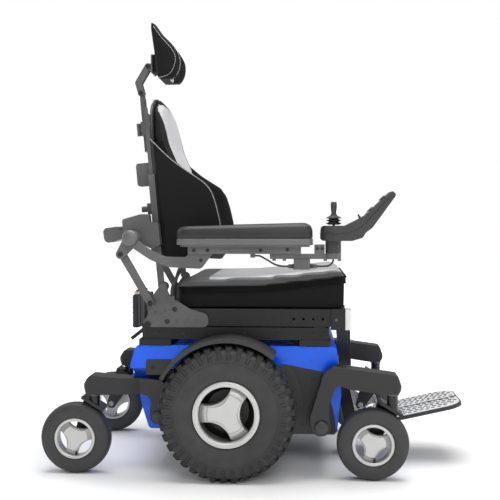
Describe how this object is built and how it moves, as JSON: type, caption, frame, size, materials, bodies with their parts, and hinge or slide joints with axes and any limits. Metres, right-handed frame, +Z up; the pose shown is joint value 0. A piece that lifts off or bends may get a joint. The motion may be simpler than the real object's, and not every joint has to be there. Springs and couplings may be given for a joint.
{
  "type": "power wheelchair",
  "caption": "Power wheelchair with mid-wheel drive, sprung casters, tilting and reclining seat, flip-up armrests, joystick, headrest and centre footrest.",
  "frame": {"origin": "on the floor, under the middle of the chair's length and width", "axes": "+X forward, +Y to the sitter's left, +Z up"},
  "size_m": [1.144, 0.6758, 1.235],
  "materials": {
    "tyre_rubber": "matte",
    "cast_alloy": "satin",
    "frame_steel": "satin",
    "arm_casting": "satin",
    "plate_grey": "satin",
    "shroud_blue": "gloss",
    "trim_plastic": "matte",
    "motor_metal": "satin",
    "battery_case": "matte",
    "module_plastic": "satin",
    "guard_white": "satin",
    "seat_fabric": "matte",
    "gel_cover": "satin",
    "back_fabric": "matte",
    "shell_grey": "satin",
    "back_alloy": "satin",
    "head_foam": "matte",
    "pad_skin": "matte",
    "pod_plastic": "satin",
    "boot_rubber": "matte",
    "button_plastic": "satin",
    "cable_jacket": "satin",
    "footplate_alloy": "satin"
  },
  "bodies": {
    "base": {"chassis_frame": "frame_steel", "body_shroud": "shroud_blue", "side_panels": "trim_plastic", "drive_motors": "motor_metal", "batteries": "battery_case", "seat_base": "frame_steel", "control_module": "module_plastic"},
    "drive_wheel_left": {"drive_tyre_left": "tyre_rubber", "drive_rim_left": "cast_alloy"},
    "rear_arm_left": {"rear_swing_arm_left": "arm_casting"},
    "rear_fork_left": {"rear_caster_fork_left": "frame_steel"},
    "rear_wheel_left": {"rear_caster_tyre_left": "tyre_rubber", "rear_caster_rim_left": "cast_alloy"},
    "front_arm_left": {"front_swing_arm_left": "arm_casting"},
    "front_fork_left": {"front_caster_fork_left": "frame_steel"},
    "front_wheel_left": {"front_caster_tyre_left": "tyre_rubber", "front_caster_rim_left": "cast_alloy"},
    "drive_wheel_right": {"drive_tyre_right": "tyre_rubber", "drive_rim_right": "cast_alloy"},
    "rear_arm_right": {"rear_swing_arm_right": "arm_casting"},
    "rear_fork_right": {"rear_caster_fork_right": "frame_steel"},
    "rear_wheel_right": {"rear_caster_tyre_right": "tyre_rubber", "rear_caster_rim_right": "cast_alloy"},
    "front_arm_right": {"front_swing_arm_right": "arm_casting"},
    "front_fork_right": {"front_caster_fork_right": "frame_steel"},
    "front_wheel_right": {"front_caster_tyre_right": "tyre_rubber", "front_caster_rim_right": "cast_alloy"},
    "seat": {"seat_frame": "frame_steel", "front_guards": "guard_white", "side_plates": "plate_grey", "cushion_base": "seat_fabric", "cushion_top": "gel_cover", "cable_loom": "cable_jacket"},
    "back": {"back_frame": "back_alloy", "back_shell": "shell_grey", "back_cushion": "back_fabric"},
    "crank_left": {"arm_crank_left": "arm_casting"},
    "strut_left": {"arm_strut_left": "arm_casting"},
    "armrest_left": {"armrest_bar_left": "arm_casting", "armrest_pad_left": "pad_skin"},
    "crank_right": {"arm_crank_right": "arm_casting"},
    "strut_right": {"arm_strut_right": "arm_casting"},
    "armrest_right": {"armrest_bar_right": "arm_casting", "armrest_pad_right": "pad_skin", "joystick_mount": "back_alloy", "joystick_cable": "cable_jacket"},
    "headrest_riser": {"headrest_post": "back_alloy"},
    "headrest_arm": {"headrest_link": "back_alloy"},
    "headrest": {"headrest_bracket": "back_alloy", "headrest_pad": "head_foam"},
    "joystick_head": {"joystick_pod": "pod_plastic"},
    "gimbal": {"joystick_gimbal": "button_plastic"},
    "stick": {"joystick_stick": "pod_plastic", "joystick_boot": "boot_rubber"},
    "toggle": {"pod_toggle": "button_plastic"},
    "button_lower": {"pod_button_lower": "button_plastic"},
    "button_upper": {"pod_button_upper": "button_plastic"},
    "legrest": {"legrest_hanger": "back_alloy"},
    "footplate_left_flap": {"footplate_left": "footplate_alloy"},
    "footplate_right_flap": {"footplate_right": "footplate_alloy"}
  },
  "joints": [
    {"name": "drive_spin_left", "type": "hinge", "parent": "base", "child": "drive_wheel_left", "pos_m": [-0.06804, 0.29, 0.178], "axis": [0, 1, 0], "continuous": true},
    {"name": "rear_suspension_left", "type": "hinge", "parent": "base", "child": "rear_arm_left", "pos_m": [-0.26004, 0.23, 0.151], "axis": [0, 1, 0], "range_deg": [-8, 8], "stiffness_Nm_per_rad": 400, "springref_deg": -1.31},
    {"name": "rear_caster_swivel_left", "type": "hinge", "parent": "rear_arm_left", "child": "rear_fork_left", "pos_m": [-0.42804, 0.236, 0.23], "axis": [0, 0, 1], "continuous": true},
    {"name": "rear_caster_roll_left", "type": "hinge", "parent": "rear_fork_left", "child": "rear_wheel_left", "pos_m": [-0.47804, 0.236, 0.094], "axis": [0, 1, 0], "continuous": true},
    {"name": "front_suspension_left", "type": "hinge", "parent": "base", "child": "front_arm_left", "pos_m": [0.17496, 0.23, 0.141], "axis": [0, -1, 0], "range_deg": [-8, 8], "stiffness_Nm_per_rad": 400, "springref_deg": -1.58},
    {"name": "front_caster_swivel_left", "type": "hinge", "parent": "front_arm_left", "child": "front_fork_left", "pos_m": [0.35896, 0.262, 0.23], "axis": [0, 0, 1], "continuous": true},
    {"name": "front_caster_roll_left", "type": "hinge", "parent": "front_fork_left", "child": "front_wheel_left", "pos_m": [0.30896, 0.262, 0.094], "axis": [0, 1, 0], "continuous": true},
    {"name": "drive_spin_right", "type": "hinge", "parent": "base", "child": "drive_wheel_right", "pos_m": [-0.06804, -0.29, 0.178], "axis": [0, 1, 0], "continuous": true},
    {"name": "rear_suspension_right", "type": "hinge", "parent": "base", "child": "rear_arm_right", "pos_m": [-0.26004, -0.23, 0.151], "axis": [0, 1, 0], "range_deg": [-8, 8], "stiffness_Nm_per_rad": 400, "springref_deg": -1.31},
    {"name": "rear_caster_swivel_right", "type": "hinge", "parent": "rear_arm_right", "child": "rear_fork_right", "pos_m": [-0.42804, -0.236, 0.23], "axis": [0, 0, 1], "continuous": true},
    {"name": "rear_caster_roll_right", "type": "hinge", "parent": "rear_fork_right", "child": "rear_wheel_right", "pos_m": [-0.47804, -0.236, 0.094], "axis": [0, 1, 0], "continuous": true},
    {"name": "front_suspension_right", "type": "hinge", "parent": "base", "child": "front_arm_right", "pos_m": [0.17496, -0.23, 0.141], "axis": [0, -1, 0], "range_deg": [-8, 8], "stiffness_Nm_per_rad": 400, "springref_deg": -1.58},
    {"name": "front_caster_swivel_right", "type": "hinge", "parent": "front_arm_right", "child": "front_fork_right", "pos_m": [0.35896, -0.262, 0.23], "axis": [0, 0, 1], "continuous": true},
    {"name": "front_caster_roll_right", "type": "hinge", "parent": "front_fork_right", "child": "front_wheel_right", "pos_m": [0.30896, -0.262, 0.094], "axis": [0, 1, 0], "continuous": true},
    {"name": "seat_tilt", "type": "hinge", "parent": "base", "child": "seat", "pos_m": [-0.28504, 0, 0.397], "axis": [0, -1, 0], "range_deg": [0, 50]},
    {"name": "back_recline", "type": "hinge", "parent": "seat", "child": "back", "pos_m": [-0.24304, 0, 0.498], "axis": [0, -1, 0], "range_deg": [0, 60]},
    {"name": "arm_crank_left_turn", "type": "hinge", "parent": "back", "child": "crank_left", "pos_m": [-0.31804, 0.27, 0.628], "axis": [0, -1, 0], "range_deg": [-60, 0]},
    {"name": "arm_strut_left_turn", "type": "hinge", "parent": "seat", "child": "strut_left", "pos_m": [-0.27404, 0.251, 0.455], "axis": [0, -1, 0], "range_deg": [0, 60]},
    {"name": "armrest_flip_left", "type": "hinge", "parent": "crank_left", "child": "armrest_left", "pos_m": [-0.31804, 0.29, 0.628], "axis": [0, -1, 0], "range_deg": [0, 95]},
    {"name": "arm_crank_right_turn", "type": "hinge", "parent": "back", "child": "crank_right", "pos_m": [-0.31804, -0.27, 0.628], "axis": [0, -1, 0], "range_deg": [-60, 0]},
    {"name": "arm_strut_right_turn", "type": "hinge", "parent": "seat", "child": "strut_right", "pos_m": [-0.27404, -0.251, 0.455], "axis": [0, -1, 0], "range_deg": [0, 60]},
    {"name": "armrest_flip_right", "type": "hinge", "parent": "crank_right", "child": "armrest_right", "pos_m": [-0.31804, -0.29, 0.628], "axis": [0, -1, 0], "range_deg": [0, 95]},
    {"name": "headrest_height", "type": "slide", "parent": "back", "child": "headrest_riser", "axis": [-0.0872, 0, 0.9962], "range_m": [0, 0.06]},
    {"name": "headrest_reach", "type": "hinge", "parent": "headrest_riser", "child": "headrest_arm", "pos_m": [-0.34104, 0, 1.042], "axis": [0, 1, 0], "range_deg": [-20, 30]},
    {"name": "headrest_angle", "type": "hinge", "parent": "headrest_arm", "child": "headrest", "pos_m": [-0.32104, 0, 1.118], "axis": [0, 1, 0], "range_deg": [-30, 30]},
    {"name": "joystick_swing", "type": "hinge", "parent": "armrest_right", "child": "joystick_head", "pos_m": [0.20396, -0.29, 0.6], "axis": [0, 0, -1], "range_deg": [0, 90]},
    {"name": "stick_sideways", "type": "hinge", "parent": "joystick_head", "child": "gimbal", "pos_m": [0.20496, -0.29, 0.655], "axis": [1, 0, 0], "range_deg": [-18, 18], "stiffness_Nm_per_rad": 0.3},
    {"name": "stick_forward", "type": "hinge", "parent": "gimbal", "child": "stick", "pos_m": [0.20496, -0.29, 0.655], "axis": [0, 1, 0], "range_deg": [-18, 18], "stiffness_Nm_per_rad": 0.3},
    {"name": "toggle_flick", "type": "hinge", "parent": "joystick_head", "child": "toggle", "pos_m": [0.27014, -0.29, 0.68256], "axis": [0, 1, 0], "range_deg": [-18, 18], "stiffness_Nm_per_rad": 0.05},
    {"name": "button_lower_press", "type": "slide", "parent": "joystick_head", "child": "button_lower", "axis": [0.6902, 0, -0.7236], "range_m": [0, 0.0015], "stiffness_N_per_m": 600, "springref_m": -0.001},
    {"name": "button_upper_press", "type": "slide", "parent": "joystick_head", "child": "button_upper", "axis": [0.6902, 0, -0.7236], "range_m": [0, 0.0015], "stiffness_N_per_m": 600, "springref_m": -0.001},
    {"name": "legrest_lift", "type": "hinge", "parent": "seat", "child": "legrest", "pos_m": [0.24396, 0, 0.392], "axis": [0, -1, 0], "range_deg": [0, 70]},
    {"name": "footplate_fold_left", "type": "hinge", "parent": "legrest", "child": "footplate_left_flap", "pos_m": [0.41209, 0.008, 0.12813], "axis": [0.9744, 0, 0.225], "range_deg": [0, 85]},
    {"name": "footplate_fold_right", "type": "hinge", "parent": "legrest", "child": "footplate_right_flap", "pos_m": [0.41209, -0.008, 0.12813], "axis": [-0.9744, 0, -0.225], "range_deg": [0, 85]}
  ],
  "couplings": [
    {"joint": "arm_crank_left_turn", "follows": "back_recline", "ratio": -1},
    {"joint": "arm_strut_left_turn", "follows": "back_recline", "ratio": 1},
    {"joint": "arm_crank_right_turn", "follows": "back_recline", "ratio": -1},
    {"joint": "arm_strut_right_turn", "follows": "back_recline", "ratio": 1}
  ]
}
